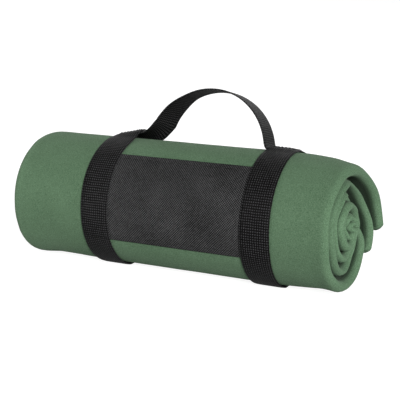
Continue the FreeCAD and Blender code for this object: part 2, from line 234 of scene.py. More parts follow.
# ---------------------------------------------------------------- materials
class Nodes:
    """A small helper that adds shader nodes and joins them."""

    def __init__(self, name):
        self.material = bpy.data.materials.new(name)
        self.material.use_nodes = True
        self.tree = self.material.node_tree
        self.shader = self.tree.nodes["Principled BSDF"]

    def add(self, kind, **settings):
        """A new node. A setting is one of its properties or, with _ for a space, an input."""
        node = self.tree.nodes.new("ShaderNode" + kind)
        for key, value in settings.items():
            if hasattr(node, key):
                setattr(node, key, value)
            else:
                node.inputs[key.replace("_", " ")].default_value = value
        return node

    def link(self, source, target):
        self.tree.links.new(source, target)

    def math(self, operation, first, second):
        node = self.add("Math", operation=operation)
        for socket, value in zip(node.inputs, (first, second)):
            if isinstance(value, (int, float)):
                socket.default_value = value
            else:
                self.link(value, socket)
        return node.outputs[0]

    def sine(self, length, pitch):
        """A wave that repeats at each pitch."""
        node = self.add("Math", operation="SINE")
        self.link(self.math("MULTIPLY", length, FULL_TURN / pitch), node.inputs[0])
        return node.outputs[0]

    def noise(self, coordinates, scale, detail=2.0, roughness=0.5):
        node = self.add("TexNoise", Scale=scale, Detail=detail, Roughness=roughness)
        self.link(coordinates, node.inputs["Vector"])
        return node.outputs["Fac"]

    def ramp(self, factor, stops):
        """Colours at places along a factor, mixed between them."""
        node = self.add("ValToRGB")
        ramp = node.color_ramp
        while len(ramp.elements) < len(stops):
            ramp.elements.new(0.5)
        for element, (place, colour) in zip(ramp.elements, stops):
            element.position = place
            element.color = (*colour, 1)
        self.link(factor, node.inputs["Fac"])
        return node.outputs["Color"]

    def bump(self, height, distance, strength=1.0):
        node = self.add("Bump", Strength=strength, Distance=distance)
        self.link(height, node.inputs["Height"])
        return node.outputs["Normal"]

    def set(self, **values):
        for key, value in values.items():
            self.shader.inputs[key.replace("_", " ")].default_value = value


def fleece_material():
    """Napped fleece: fine nubs over broad soft patches, its colour times painted shade between the
    leaves and painted highlight on their folds.
    """
    m = Nodes("fleece")
    place = m.add("TexCoord").outputs["Object"]
    broad = m.noise(place, 14, 3.0)
    nubs = m.noise(place, 1050, 3.0, 0.65)
    fine = m.noise(place, 2600, 2.0, 0.6)
    mixed = m.math("ADD", m.math("MULTIPLY", nubs, 0.8), m.math("MULTIPLY", broad, 0.2))
    colour = m.ramp(mixed, [
        (0.34, (0.044, 0.084, 0.045)),
        (0.50, (0.078, 0.138, 0.079)),
        (0.66, (0.116, 0.192, 0.117)),
    ])
    # the mesh's painted shade and painted highlight multiply the fleece's colour
    painted_colour = m.add("VectorMath", operation="MULTIPLY")
    m.link(colour, painted_colour.inputs[0])
    m.link(m.add("Attribute", attribute_name="painted_light").outputs["Color"], painted_colour.inputs[1])
    m.link(painted_colour.outputs[0], m.shader.inputs["Base Color"])
    height = m.math("ADD", m.math("MULTIPLY", nubs, 0.7), m.math("MULTIPLY", fine, 0.3))
    m.link(m.bump(height, 1.0 * MM, 0.7), m.shader.inputs["Normal"])
    m.set(Roughness=0.95, Specular_IOR_Level=0.12, Sheen_Weight=0.12, Sheen_Roughness=0.5)
    m.shader.inputs["Sheen Tint"].default_value = (0.55, 0.75, 0.55, 1)
    return m.material


def woven_material(name, dark, light, dark_end, pitch, checker, depth, roughness, gloss):
    """Yarns that pass over and under each other, in a checker or as rows of small dots.

    dark is painted shade in the gaps and light a painted highlight on the yarns' crowns, dark_end is the
    shade up to which the cloth is wholly dark, and pitch is the weave's repeat along and across."""
    pitch_u, pitch_v = pitch
    m = Nodes(name)
    uv = m.add("UVMap", uv_map="weave").outputs["UV"]
    parts = m.add("SeparateXYZ")
    m.link(uv, parts.inputs[0])
    place = m.add("TexCoord").outputs["Object"]
    wander = m.math("MULTIPLY", m.math("SUBTRACT", m.noise(place, 90, 2.0), 0.5), 0.5 * pitch_u)
    u = m.math("ADD", parts.outputs[0], wander)
    wave_u = m.sine(u, pitch_u)
    wave_v = m.sine(parts.outputs[1], pitch_v)
    if checker:
        over = m.math("ADD", m.math("MULTIPLY", m.math("MULTIPLY", wave_u, wave_v), 0.5), 0.5)
    else:
        dots = m.math("MULTIPLY", m.math("ADD", wave_u, 1.0), m.math("ADD", wave_v, 1.0))
        over = m.math("MULTIPLY", dots, 0.25)
    # broad soft patches, lighter and darker at random, in the colour and the roughness
    broad_patches = m.noise(place, 24, 4.0)
    fuzz = m.noise(place, 2600, 2.0)
    yarn = m.noise(place, 420, 1.0)
    shade = m.math("ADD", m.math("MULTIPLY", over, 0.56), m.math("MULTIPLY", yarn, 0.22))
    shade = m.math("ADD", shade, m.math("MULTIPLY", broad_patches, 0.22))
    # painted highlight on the yarns' crowns and painted shade in the gaps between them, as base colour
    m.link(m.ramp(shade, [(dark_end, dark), (0.78, light)]), m.shader.inputs["Base Color"])
    relief = m.math("ADD", over, m.math("MULTIPLY", fuzz, 0.15))
    m.link(m.bump(relief, depth, 1.0), m.shader.inputs["Normal"])
    m.link(m.math("ADD", m.math("MULTIPLY", broad_patches, 0.14), roughness - 0.06), m.shader.inputs["Roughness"])
    m.set(Specular_IOR_Level=gloss)
    return m.material


def thread_material(name, dark, light):
    """Matt twisted thread."""
    m = Nodes(name)
    place = m.add("TexCoord").outputs["Object"]
    twist = m.noise(place, 1800, 2.0)
    m.link(m.ramp(twist, [(0.3, dark), (0.7, light)]), m.shader.inputs["Base Color"])
    m.link(m.bump(twist, 0.15 * MM, 0.6), m.shader.inputs["Normal"])
    m.set(Roughness=0.6, Specular_IOR_Level=0.2)
    return m.material


def pile_material(name, dark, light, scale, depth):
    """The small loops or hooks of a fastening tape."""
    m = Nodes(name)
    place = m.add("TexCoord").outputs["Object"]
    cells = m.add("TexVoronoi", Scale=scale)
    m.link(place, cells.inputs["Vector"])
    distance = cells.outputs["Distance"]
    m.link(m.ramp(distance, [(0.1, light), (0.6, dark)]), m.shader.inputs["Base Color"])
    m.link(m.bump(m.math("SUBTRACT", 1.0, distance), depth, 1.0), m.shader.inputs["Normal"])
    m.set(Roughness=0.8, Specular_IOR_Level=0.25, Sheen_Weight=0.3)
    return m.material


FLEECE = fleece_material()
# the light colours are painted highlights on the yarns' crowns, the dark ones painted shade in the gaps
WEBBING_CLOTH = woven_material(
    "webbing", dark=(0.002, 0.002, 0.002), light=(0.062, 0.062, 0.064), dark_end=0.30,
    pitch=(2.5 * MM, 2.3 * MM), checker=False, depth=0.8 * MM, roughness=0.45, gloss=0.08)
PANEL_CLOTH = woven_material(
    "panel_cloth", dark=(0.001, 0.001, 0.001), light=(0.092, 0.092, 0.094), dark_end=0.42,
    pitch=(2.5 * MM, 2.5 * MM), checker=True, depth=0.4 * MM, roughness=0.6, gloss=0.10)
BLACK_THREAD = thread_material("black_thread", (0.003, 0.003, 0.003), (0.014, 0.014, 0.0145))
GREEN_THREAD = thread_material("green_thread", (0.055, 0.105, 0.062), (0.10, 0.17, 0.105))
LOOP_PILE = pile_material(
    "loop_pile", (0.006, 0.006, 0.007), (0.035, 0.035, 0.037), scale=1100, depth=0.5 * MM)
HOOK_PILE = pile_material(
    "hook_pile", (0.004, 0.004, 0.005), (0.045, 0.045, 0.048), scale=900, depth=0.6 * MM)
THREAD = 0.55 * MM

# ---------------------------------------------------------------- the blanket
# One sheet, 1.2 x 1.5 m. Its 1.2 m side is folded in half to two plies, its 1.5 m side has
# both edges folded to the middle and is then folded in half: a strip of eight layers,
# 0.375 m wide, in two leaves of four. The strip is rolled up, cut edges outermost.
LAYERS = 8
PLY_HALF = 0.44                     # half of a ply, in layers
OUTER_LEAF, INNER_LEAF = 5.5, 1.5   # the middle layer of each leaf
LEAF_REACH = 1.9                    # from there to the leaf's surface, in layers
RIGHT_FOLD, LEFT_FOLD = 10.5 * MM, 17 * MM    # how deep the folds are at each end
FLAP_INSET = 6 * MM                 # the sheet's cut edges end this far inside the left fold

# how it is wound: angles are measured from the outer leaf's end
TAIL_ANGLE = -16.5 * DEGREE         # where that end lies on the roll
INNER_TAIL = -32 * DEGREE           # how far the inner leaf's end lies past it
WOUND = 970 * DEGREE                # from the tail's end to the core
DIP_START, DIP = 244 * DEGREE, 96 * DEGREE    # where a turn dips under the tail
CUT_TURN = 274 * DEGREE             # where the outermost turn starts to become the second
TIP = 3.5 * DEGREE                  # how far the outer plies stop short of a leaf's tip
CORNER = 11 * MM                    # the tail's corner at the open end is rounded
CORE_TURN = 14 * DEGREE             # reach of the turn at the strip's far end

# how thick it is
PRESSED = 7.5 * MM                  # the strip, where a strap presses it
OPEN_PLUMP, OPEN_ZONE = 20 * MM, (105 * MM, 165 * MM)
CLOSED_PLUMP, CLOSED_ZONE = 10 * MM, (92 * MM, 150 * MM)
FRONT_THIN = 10 * MM                # taken off the open end's plumpness over the front
FRONT_SIDE, FRONT_SPREAD = 158 * DEGREE, 58 * DEGREE
TOP_SIDE, TOP_SPREAD = 80 * DEGREE, 42 * DEGREE
SECOND_SHARE = 0.60                 # the second turn's share of what the first leaves
LEAF_GAP = 0.20                     # share by which the leaves thin towards the open end
LEAF_GAP_ZONE = (HALF - 38 * MM, HALF - 10 * MM)
PLUMP, PLUMP_TOP, PLUMP_FRONT = 0.34, 0.28, -0.67    # of the outer leaf over the inner one
PLUMP_STEEPNESS = 1.15
PLUMP_ZONE = (120 * MM, HALF)
PLUMP_END = (10.0, 11.0)            # winding, in radians, over which that fades out

# how far the leaves' edges slip back at the open end: millimetres at the start, then each
# change and the two winding angles, in degrees, between which it comes
OUTER_SLIP = (0.5, (-19.5, -50, 165), (9.0, 215, 290))
INNER_SLIP = (-6.5, (-14.5, -25, 80), (4.5, 100, 132))
DEEPER_SLIP = (-16.5, (3.0, 540, 640))
DEEPER_OUTER_SLIP = (-11.5, (8.0, 450, 480))
DEEPER_FROM = (325, 390)
CRUMPLED_FROM = (600, 700)
SLIP_ZONE = (HALF - 70 * MM, HALF)
SINK = 0.025                        # the inner turns lie this share lower beside the tail
SINK_SIDE, SINK_SPREAD = 30 * DEGREE, 52 * DEGREE
SINK_FROM = (1.1 * FULL_TURN, 1.2 * FULL_TURN)      # past here the outer leaf sinks too

# how the roll is shaped
SHOULDER, SHOULDER_UPPER = 27 * MM, 0.08      # the closed end's rounding, and more of it on top
DROOP_ALL, DROOP_TOP = 0.6 * MM, 6.4 * MM     # the open end draws in all round, and on top
DROOP_START, DROOP_RUN, DROOP_POWER = 112 * MM, 68 * MM, 1.9
SLUMP = 3.6 * MM                    # the ends sag below the straps' level
OPEN_SLUMP_ZONE, CLOSED_SLUMP_ZONE = (146 * MM, 170 * MM), (140 * MM, 166 * MM)
CLOSED_SLUMP = 0.8                  # the closed end's sag, as a share of the open end's
SWELL = 0.7 * MM                    # all round, except under the panel
PANEL_ZONE = ((112, 119), (206, 213))         # degrees over which that comes and goes
UNEVEN, UNEVEN_ENDS = 0.002, 0.008            # share of unevenness, and more at the ends
UNEVEN_ZONE = (120 * MM, HALF)
SAG, SAG_ENDS = 0.8 * MM, 1.3 * MM            # of the underside below the CAD's, and at the ends
FLOOR_ZONE = (146 * MM, 166 * MM)
FLOOR_SOFT = 1.4 * MM               # how softly the cloth flattens on its underside

# painted highlight on the folds and painted shade between the leaves, as a share lighter or darker
NOSE_HIGHLIGHT, CORE_HIGHLIGHT, VALLEY_SHADE = 0.24, 0.70, 0.86
NOSE_RUN = (1.2 * MM, 7.5 * MM)     # past the flat part, where the painted highlight comes in
VALLEY_RUN = (-32 * MM, -4 * MM)    # where the painted shade does
OUTER_FACE = (5.2, 6.8)             # layers that show on the roll's outside
INSIDE_FROM = (0.95 * FULL_TURN, FULL_TURN)
CORE_RUN = (0.95 * FULL_TURN, 1.4 * FULL_TURN)


def flat_part(x0, x1, count, ply_a, ply_b, side, leaf):
    """Columns across a flat part of the strip, closer together beside the folds."""
    columns = []
    for share in np.linspace(0, 1, count):
        x = x0 + (x1 - x0) * (share - 0.08 * math.sin(2 * math.pi * share))
        layers = (ply_a + side * PLY_HALF, ply_a - side * PLY_HALF,
                  ply_b - side * PLY_HALF, ply_b + side * PLY_HALF)
        columns.append((x, x, x, x, *layers, leaf))
    return columns


def fold_part(x0, depth, half_layers, centre, half_a, half_b, start, count, leaf_from, leaf_to):
    """Columns round one fold, from one flat part to the next.

    half_layers is how many layers the fold's depth spans, half_a and half_b are how far the
    two plies lie from its centre, and start is 1 or -1 for the side that it starts on."""
    columns = []
    reach = math.copysign(depth, x0) / half_layers
    sizes = (half_a + PLY_HALF, half_a - PLY_HALF, half_b - PLY_HALF, half_b + PLY_HALF)
    for turn in np.linspace(0, math.pi, count)[1:-1]:
        xs = [x0 + reach * math.sin(turn) * size for size in sizes]
        layers = [centre + size * math.cos(turn) * start for size in sizes]
        leaf = leaf_from + (leaf_to - leaf_from) * (0.5 - 0.5 * math.cos(turn))
        columns.append((*xs, *layers, leaf))
    return columns


def fold_columns():
    """The strip's cross-section as one path of columns from cut edge to cut edge.

    Each column holds four x, then four layers, for the first side and the second side of
    ply a and of ply b, and which leaf it is in (0 the outer leaf, 1 the inner leaf)."""
    right = HALF - RIGHT_FOLD
    left = -HALF + LEFT_FOLD
    flap = left + FLAP_INSET
    columns = flat_part(flap, right, 12, 4, 5, -1, 0)
    columns += fold_part(right, RIGHT_FOLD, 2, 5.5, 1.5, 0.5, -1, 11, 0, 0)
    columns += flat_part(right, left, 46, 7, 6, 1, 0)
    columns += fold_part(left, LEFT_FOLD, 4, 3.5, 3.5, 2.5, 1, 15, 0, 1)
    columns += flat_part(left, right, 12, 0, 1, -1, 1)
    columns += fold_part(right, RIGHT_FOLD, 2, 1.5, 1.5, 0.5, -1, 11, 1, 1)
    columns += flat_part(right, flap, 26, 3, 2, 1, 1)
    return np.array(columns)


def winding_rows():
    """Shares of the way from the tail to the core, closer together at the outside."""
    outer = np.arange(0, 360, 4.0)
    second = np.arange(360, 720, 6.5)
    core = np.linspace(720, WOUND / DEGREE, 24)
    return np.concatenate([outer, second, core]) * DEGREE / WOUND


def strip_depth(x, wound):
    """How thick the strip is in its outermost turn: pressed by the straps, plump at the ends."""
    front = bump(wound + TAIL_ANGLE, FRONT_SIDE, FRONT_SPREAD)
    open_end = (OPEN_PLUMP - FRONT_THIN * front) * smooth(x, *OPEN_ZONE)
    return PRESSED + open_end + CLOSED_PLUMP * smooth(-x, *CLOSED_ZONE)


def outer_radius(x, wound):
    """The strip's outer surface and its thickness at a winding angle from the tail's end."""
    depth = strip_depth(x, wound)
    second = (RADIUS - depth) * SECOND_SHARE
    core = RADIUS - depth - second
    dip_one = smooth(wound, DIP_START, DIP_START + DIP)
    dip_two = smooth(wound, DIP_START + FULL_TURN, DIP_START + FULL_TURN + DIP)
    radius = RADIUS - depth * dip_one - second * dip_two
    thickness = depth + (second - depth) * dip_one + (core - second) * dip_two
    return radius, thickness


def stepped(value, start, *changes):
    """A value that begins at start and makes each change between that change's two limits."""
    return start + sum(amount * smooth(value, low, high) for amount, low, high in changes)


def end_slip(layer, wound):
    """How far each leaf's edge lies from the sheet's full width, at the open end."""
    outer_leaf = smooth(layer, 3.0, 4.0)
    degrees = wound / DEGREE
    outer, inner = stepped(degrees, *OUTER_SLIP), stepped(degrees, *INNER_SLIP)
    deeper = stepped(degrees, *DEEPER_SLIP) + stepped(degrees, *DEEPER_OUTER_SLIP) * outer_leaf
    slip = outer * outer_leaf + inner * (1 - outer_leaf)
    slip = slip + (deeper - slip) * smooth(degrees, *DEEPER_FROM)
    # the folds wander a little all the way, and more in the crumpled core
    wander = 0.6 * np.sin(wound * 3 + 1.3) + 0.4 * np.sin(wound * 7 + layer * 0.4)
    crumple = 1.5 * np.sin(wound * 3 + 0.7) + 0.8 * np.sin(wound * 8 + layer * 0.5)
    return (slip + wander + crumple * smooth(degrees, *CRUMPLED_FROM)) * MM


def parted_leaves(x, layer):
    """The layers draw together in each leaf towards the open end, so that the leaves part."""
    leaf_middle = np.where(layer > (LAYERS - 1) / 2, OUTER_LEAF, INNER_LEAF)
    return layer + (leaf_middle - layer) * LEAF_GAP * smooth(x, *LEAF_GAP_ZONE)


def depth_share(x, layer, wound):
    """How deep a layer lies in the strip, 0 outside to 1 inside.

    At the open end the outer leaf is the plumper one, but it is thin over the front."""
    side = (TAIL_ANGLE + wound) % FULL_TURN
    first_turn = 1 - smooth(wound, CUT_TURN, FULL_TURN)
    front, top = bump(side, FRONT_SIDE, FRONT_SPREAD), bump(side, TOP_SIDE, TOP_SPREAD)
    plump = (PLUMP + PLUMP_TOP * top) * first_turn + PLUMP_FRONT * front
    plump = plump * smooth(x, *PLUMP_ZONE) * (1 - smooth(wound, *PLUMP_END))
    share = np.clip((LAYERS - 0.5 - layer) / LAYERS, 0.0, 1.0)
    return share + PLUMP_STEEPNESS * plump * share * (1 - share)


def sunk_beside_tail(layer, wound, near_open):
    """At the open end the inner turns lie a little below the outermost leaf."""
    outer_turn = smooth(layer, 3.0, 4.0) * (1 - smooth(wound, *SINK_FROM))
    away = (TAIL_ANGLE + wound - SINK_SIDE + math.pi) % FULL_TURN - math.pi
    return 1 - SINK * near_open * bump(away, 0, SINK_SPREAD) * (1 - outer_turn)


def shoulder_shift(radius, thickness, angle):
    """How far the closed end draws in towards the roll's outside."""
    turn_middle = radius - thickness / 2
    shoulder = SHOULDER * (1 + SHOULDER_UPPER * np.sin(angle))
    past = np.clip((turn_middle - (RADIUS - shoulder)) / shoulder, 0, 1)
    return shoulder * (1 - np.sqrt(1 - past ** 2))


def pressed_shape(x, moved, angle):
    """The share by which the whole roll is wider or narrower at a place."""
    upper, lower = np.clip(np.sin(angle), 0, 1), np.clip(-np.sin(angle), 0, 1)
    droop = (DROOP_ALL + DROOP_TOP * upper ** 2) * np.clip(
        (moved - DROOP_START) / DROOP_RUN, 0, 1.2) ** DROOP_POWER
    slump = SLUMP * lower * (smooth(moved, *OPEN_SLUMP_ZONE)
                             + CLOSED_SLUMP * smooth(-moved, *CLOSED_SLUMP_ZONE))
    degrees = angle / DEGREE % 360
    under_panel = smooth(degrees, *PANEL_ZONE[0]) * (1 - smooth(degrees, *PANEL_ZONE[1]))
    # gentle unevenness, the same for every layer at a place
    wave = 0.45 * np.sin(moved * 61 + angle * 2 + 0.6) + 0.35 * np.sin(moved * 137 - angle * 3 + 2.1)
    uneven = UNEVEN + UNEVEN_ENDS * smooth(np.abs(x), *UNEVEN_ZONE)
    return ((1 + (slump - droop) / RADIUS) * (1 + SWELL / RADIUS * (1 - under_panel))
            * (1 + uneven * wave))


def flatten_underside(points, moved):
    """Lift what would lie below the roll's flat underside."""
    floor = roll_low.z - SAG - SAG_ENDS * smooth(np.abs(moved), *FLOOR_ZONE)
    below = np.maximum(floor + FLOOR_SOFT - points[..., 2], 0)
    points[..., 2] += below - FLOOR_SOFT * (1 - np.exp(-below / FLOOR_SOFT))
    return points


def place_cloth(x, layer, wound):
    """Where a point of the strip lies once it is rolled up and pressed into shape."""
    radius, thickness = outer_radius(x, wound)
    angle = TAIL_ANGLE + wound
    layer = parted_leaves(x, layer)
    near_open, near_closed = smooth(x, *SLIP_ZONE), smooth(-x, *SLIP_ZONE)
    distance = radius - thickness * depth_share(x, layer, wound)
    distance = distance * sunk_beside_tail(layer, wound, near_open)
    moved = x + end_slip(layer, wound) * near_open
    moved = moved + shoulder_shift(radius, thickness, angle) * near_closed
    distance = distance * pressed_shape(x, moved, angle)
    return flatten_underside(on_roll(moved, distance, angle), moved)


def painted_shade_and_highlight(x, layer, wound):
    """Painted shade deep between the leaves and painted highlight on their folds, as a share of the
    colour.
    """
    flat_end = np.where(x > 0, HALF - RIGHT_FOLD, HALF - LEFT_FOLD)
    past = np.abs(x) - flat_end
    nose = smooth(past, *NOSE_RUN)
    valley = smooth(past, *VALLEY_RUN) * (1 - nose)
    outside = smooth(layer, *OUTER_FACE) * (1 - smooth(wound, *INSIDE_FROM))
    light = NOSE_HIGHLIGHT * (1 + CORE_HIGHLIGHT * smooth(wound, *CORE_RUN))
    return 1 + light * nose - VALLEY_SHADE * valley * (1 - outside)


def cut_edge(x, layer, leaf):
    """The winding angle at which the cut edge lies: each leaf has a rounded tip and corner."""
    leaf_middle = OUTER_LEAF + (INNER_LEAF - OUTER_LEAF) * leaf
    tip = TIP * np.clip(np.abs(layer - leaf_middle) / LEAF_REACH, 0, 1) ** 2.5
    corner = np.clip((x - (HALF - CORNER)) / CORNER, 0, 1)
    return INNER_TAIL * leaf + tip + CORNER / RADIUS * (1 - np.sqrt(1 - corner ** 2))


def make_blanket():
    """The whole sheet: along ply a to the core, round the turn there, and back along ply b."""
    columns = fold_columns()
    xs, layers, leaf = columns[:, :4], columns[:, 4:8], columns[:, 8]
    rows = winding_rows()
    sides, painted_light_grids = {}, {}
    for name, a, b in (("first", 0, 2), ("second", 1, 3)):
        plies, ply_painted_light = [], []
        for column in (a, b):
            first = cut_edge(xs[:, column], layers[:, column], leaf)
            wound = first + rows[:, None] * (WOUND - first)
            x = np.broadcast_to(xs[:, column], wound.shape)
            layer = np.broadcast_to(layers[:, column], wound.shape)
            plies.append(place_cloth(x, layer, wound))
            # painted shade deep between the leaves, painted highlight on their folds
            ply_painted_light.append(painted_shade_and_highlight(x, layer, wound))
        ply_a, ply_b = plies
        turn_rows = []
        for turn in (math.pi * k / 5 for k in range(1, 5)):
            swing = 0.5 + 0.5 * math.cos(turn)
            x_t = xs[:, b] + (xs[:, a] - xs[:, b]) * swing
            layer_t = layers[:, b] + (layers[:, a] - layers[:, b]) * swing
            wound = np.full(len(xs), WOUND + CORE_TURN * math.sin(turn))
            turn_rows.append(place_cloth(x_t, layer_t, wound))
        sides[name] = np.concatenate([ply_a, np.array(turn_rows), ply_b[::-1]])
        turn_painted_light = np.ones((len(turn_rows), len(xs)))
        painted_light_grids[name] = np.concatenate([ply_painted_light[0], turn_painted_light, ply_painted_light[1][::-1]])
    return shell("fleece_blanket", sides["first"], sides["second"], 0.5 * MM, FLEECE,
                 painted_light_grids=(painted_light_grids["first"], painted_light_grids["second"]))


blanket = make_blanket()
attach(blanket, "blanket")
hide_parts("blanket_roll")


# ---------------------------------------------------------------- straps
STRAP_LIFT = {"left": 0.235, "right": 0.03}      # rise of the webbing per width, at a foot
LIFT_ANGLE = {"left": 81 * DEGREE, "right": 78 * DEGREE}
LIFT_SPREAD = 13.5 * DEGREE
TAUT = 3.5 * MM                                   # the webbing is pulled in past the tail
TAUT_RISE = (-84 * DEGREE, -62 * DEGREE)
TAUT_FALL = (-50 * DEGREE, -31 * DEGREE)
FOOT_SHORT = 5 * MM                               # the foot ends this far inside the strap
FOOT_HALF, FOOT_RAMP = 13.5 * DEGREE, 5 * DEGREE  # the step over it, round the roll
STRAP_WANDER = 0.15 * MM                          # sideways
STRAP_END = 22.5 * DEGREE                         # where the strap starts, under its free end
TAB_BEND = 11 * DEGREE                            # of the free end, where it peels
TAPE_TOP, TAPE_BOTTOM = 20 * DEGREE, -26 * DEGREE
TAPE_INSET = 2.5 * MM
OUTER_SIDE = {"left": STRAPS["left"], "right": STRAPS["right"] + WEBBING}


def strap_rise(side, x, angle):
    """How far the handle pulls the webbing off the roll, beside its foot."""
    along = np.abs(np.asarray(x) - OUTER_SIDE[side])
    return STRAP_LIFT[side] * along * bump(angle, LIFT_ANGLE[side], LIFT_SPREAD)


def over_foot(side, x, angle):
    """The strap steps up over the handle's foot, which is sewn beneath it."""
    away = np.abs(np.asarray(angle) - HANDLE_ANGLE)
    under = smooth(np.abs(np.asarray(x) - OUTER_SIDE[side]), 1 * MM, FOOT_SHORT + 1 * MM)
    return THICK * (1 - smooth(away, FOOT_HALF, FOOT_HALF + FOOT_RAMP)) * under


def strap_surface(side, x, angle, lift):
    """Points at a height above the strap's outer face."""
    return on_roll(x, STRAP_OUT + strap_rise(side, x, angle) + over_foot(side, x, angle) + lift, angle)


def ring_path(radius, first, last):
    """Distances and angles round the roll from first to last, flat where it rests."""
    count = int(abs(last - first) / (3 * DEGREE)) + 2
    angle = np.linspace(first, last, count)
    drop = AXIS_Z - (STRAP_OUT - radius)
    distance = np.full(count, radius)
    below = -np.sin(angle) * radius > drop
    distance[below] = drop / -np.sin(angle[below])
    distance -= TAUT * smooth(angle, *TAUT_RISE) * (1 - smooth(angle, *TAUT_FALL))
    return distance, angle


def peel_bend():
    """Where the free end's bend starts and ends when it peels."""
    bend_from = on_roll(0.0, TAB_MIDDLE, CLOSURE_TOP)
    bend_to = on_roll(0.0, TAB_MIDDLE, CLOSURE_TOP - TAB_BEND)
    return tuple(bend_from), tuple(bend_to)


def make_strap(side):
    """The webbing round the roll, from under its free end all the way to where that starts."""
    middle = (STRAP_IN + STRAP_OUT) / 2
    leave = CLOSURE_TOP + math.acos(middle / TAB_MIDDLE)
    distance, angle = ring_path(middle, STRAP_END, leave - FULL_TURN)
    x = STRAPS[side] + np.linspace(0, WEBBING, 9)[None, :]
    turned = (angle[:, None] + FULL_TURN) % FULL_TURN
    rise = strap_rise(side, x, turned) + over_foot(side, x, turned)
    grid = on_roll(x, distance[:, None] + rise, angle[:, None])
    grid[..., 0] += STRAP_WANDER * np.sin(angle[:, None] * 5 + x * 90)
    strap = slab(side + "_strap_webbing", grid, THICK, WEBBING_CLOTH)
    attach(strap, "carrier")
    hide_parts(side + "_strap")


def make_free_end(side):
    """The free end leaves the ring along a tangent, then goes round outside the tapes."""
    middle = (STRAP_IN + STRAP_OUT) / 2
    leave = CLOSURE_TOP + math.acos(middle / TAB_MIDDLE)
    foot, top = on_roll(0.0, middle, leave), on_roll(0.0, TAB_MIDDLE, CLOSURE_TOP)
    line = foot + (top - foot) * np.linspace(0, 1, 8)[:, None]
    turn = np.linspace(CLOSURE_TOP, CLOSURE_BOTTOM, 24)[1:]
    path = np.concatenate([line, on_roll(0.0, np.full(len(turn), TAB_MIDDLE), turn)])
    grid = np.repeat(path[:, None, :], 9, axis=1)
    grid[..., 0] = STRAPS[side] + np.linspace(0, WEBBING, 9)[None, :]
    tab = slab(side + "_closure_webbing", grid, THICK, WEBBING_CLOTH)
    bend_from, bend_to = peel_bend()
    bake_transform(tab)
    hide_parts(side + "_closure_tab")


def make_tape(side, kind, inner, material):
    """A fastening tape: loop tape rides on the strap, hook tape lies just inside the free end."""
    turn = np.linspace(TAPE_TOP, TAPE_BOTTOM, 20)
    x = STRAPS[side] + np.linspace(TAPE_INSET, WEBBING - TAPE_INSET, 7)
    grid = on_roll(x[None, :], inner + TAPE / 2, turn[:, None])
    tape = slab("%s_%s_tape_cloth" % (side, kind), grid, TAPE, material, thin_sides=False)
    if kind == "loop":
        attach(tape, "carrier")
    else:
        bend_from, bend_to = peel_bend()
        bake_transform(tape)
    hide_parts("%s_%s_tape" % (side, kind))


def frame_corners(u0, u1, v0, v1):
    """The corners of a rectangle, back to the first."""
    return [(u0, v0), (u1, v0), (u1, v1), (u0, v1), (u0, v0)]


def sew(name, node, body, surface, corners, peels=False):
    """A row of black stitches between corners on a surface."""
    row = thread_mesh(name, stitches_along(surface, corners), THREAD, BLACK_THREAD)
    if peels:
        bend_from, bend_to = peel_bend()
        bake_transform(row)
    else:
        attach(row, body)
    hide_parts(node)


SEAM_INSET, SEAM_END = 3 * MM, 2 * DEGREE         # of the panel's seams, from the strap and panel
TAPE_SEAM_INSET, TAPE_SEAM_END = 4.5 * MM, 2 * DEGREE


def sew_strap(side):
    """The seam that holds the panel under the strap, and a frame of stitches on each tape."""
    start, end = STRAPS[side], STRAPS[side] + WEBBING

    def on_strap(x, angle, lift):
        return strap_surface(side, x, angle, lift)

    def on_tape(x, angle, lift):
        return on_roll(x, STRAP_OUT + TAPE + lift, angle)

    def on_tab(x, angle, lift):
        return on_roll(x, TAB_IN + THICK + lift, angle)

    seam = frame_corners(start + SEAM_INSET, end - SEAM_INSET,
                         PANEL_TOP + SEAM_END, PANEL_BOTTOM - SEAM_END)
    tape_seam = frame_corners(start + TAPE_SEAM_INSET, end - TAPE_SEAM_INSET,
                              TAPE_BOTTOM + TAPE_SEAM_END, TAPE_TOP - TAPE_SEAM_END)
    sew(side + "_panel_seam_thread", side + "_panel_seam", "carrier", on_strap, seam)
    sew(side + "_loop_thread", side + "_loop_stitching", "carrier", on_tape, tape_seam)
    sew(side + "_hook_thread", side + "_hook_stitching", side + "_tab", on_tab, tape_seam, peels=True)


for side in ("left", "right"):
    make_strap(side)
    make_free_end(side)
    make_tape(side, "loop", STRAP_OUT, LOOP_PILE)
    make_tape(side, "hook", TAB_IN - TAPE, HOOK_PILE)
    sew_strap(side)


# ---------------------------------------------------------------- front panel
panel_low, panel_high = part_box("front_panel")
PANEL_CLOTH_THICK = 0.6 * MM
PANEL_MIDDLE = RADIUS + 0.65 * MM
PANEL_CENTRE = (PANEL_TOP + PANEL_BOTTOM) / 2
HEM_STEP = 0.25 * MM
HEM_EDGE = (34.5 * DEGREE, 35.5 * DEGREE)     # from the panel's centre
HEM_SEAM = 5 * DEGREE                         # from the panel's edge
HEM_THREAD, HEM_STITCH = 0.4 * MM, 2.6 * MM
CLEAR = 0.5 * MM                              # between the hem's stitches and the straps


def panel_radius(x, angle):
    """The panel hugs the roll, raised where its hems are turned in and rippled between."""
    hem = smooth(np.abs(angle - PANEL_CENTRE), *HEM_EDGE)
    ripple = 0.12 * np.sin(x * 190 + angle * 4) + 0.10 * np.sin(x * 75 - angle * 9 + 1.0)
    return PANEL_MIDDLE + HEM_STEP * hem + ripple * (1 - hem) * MM


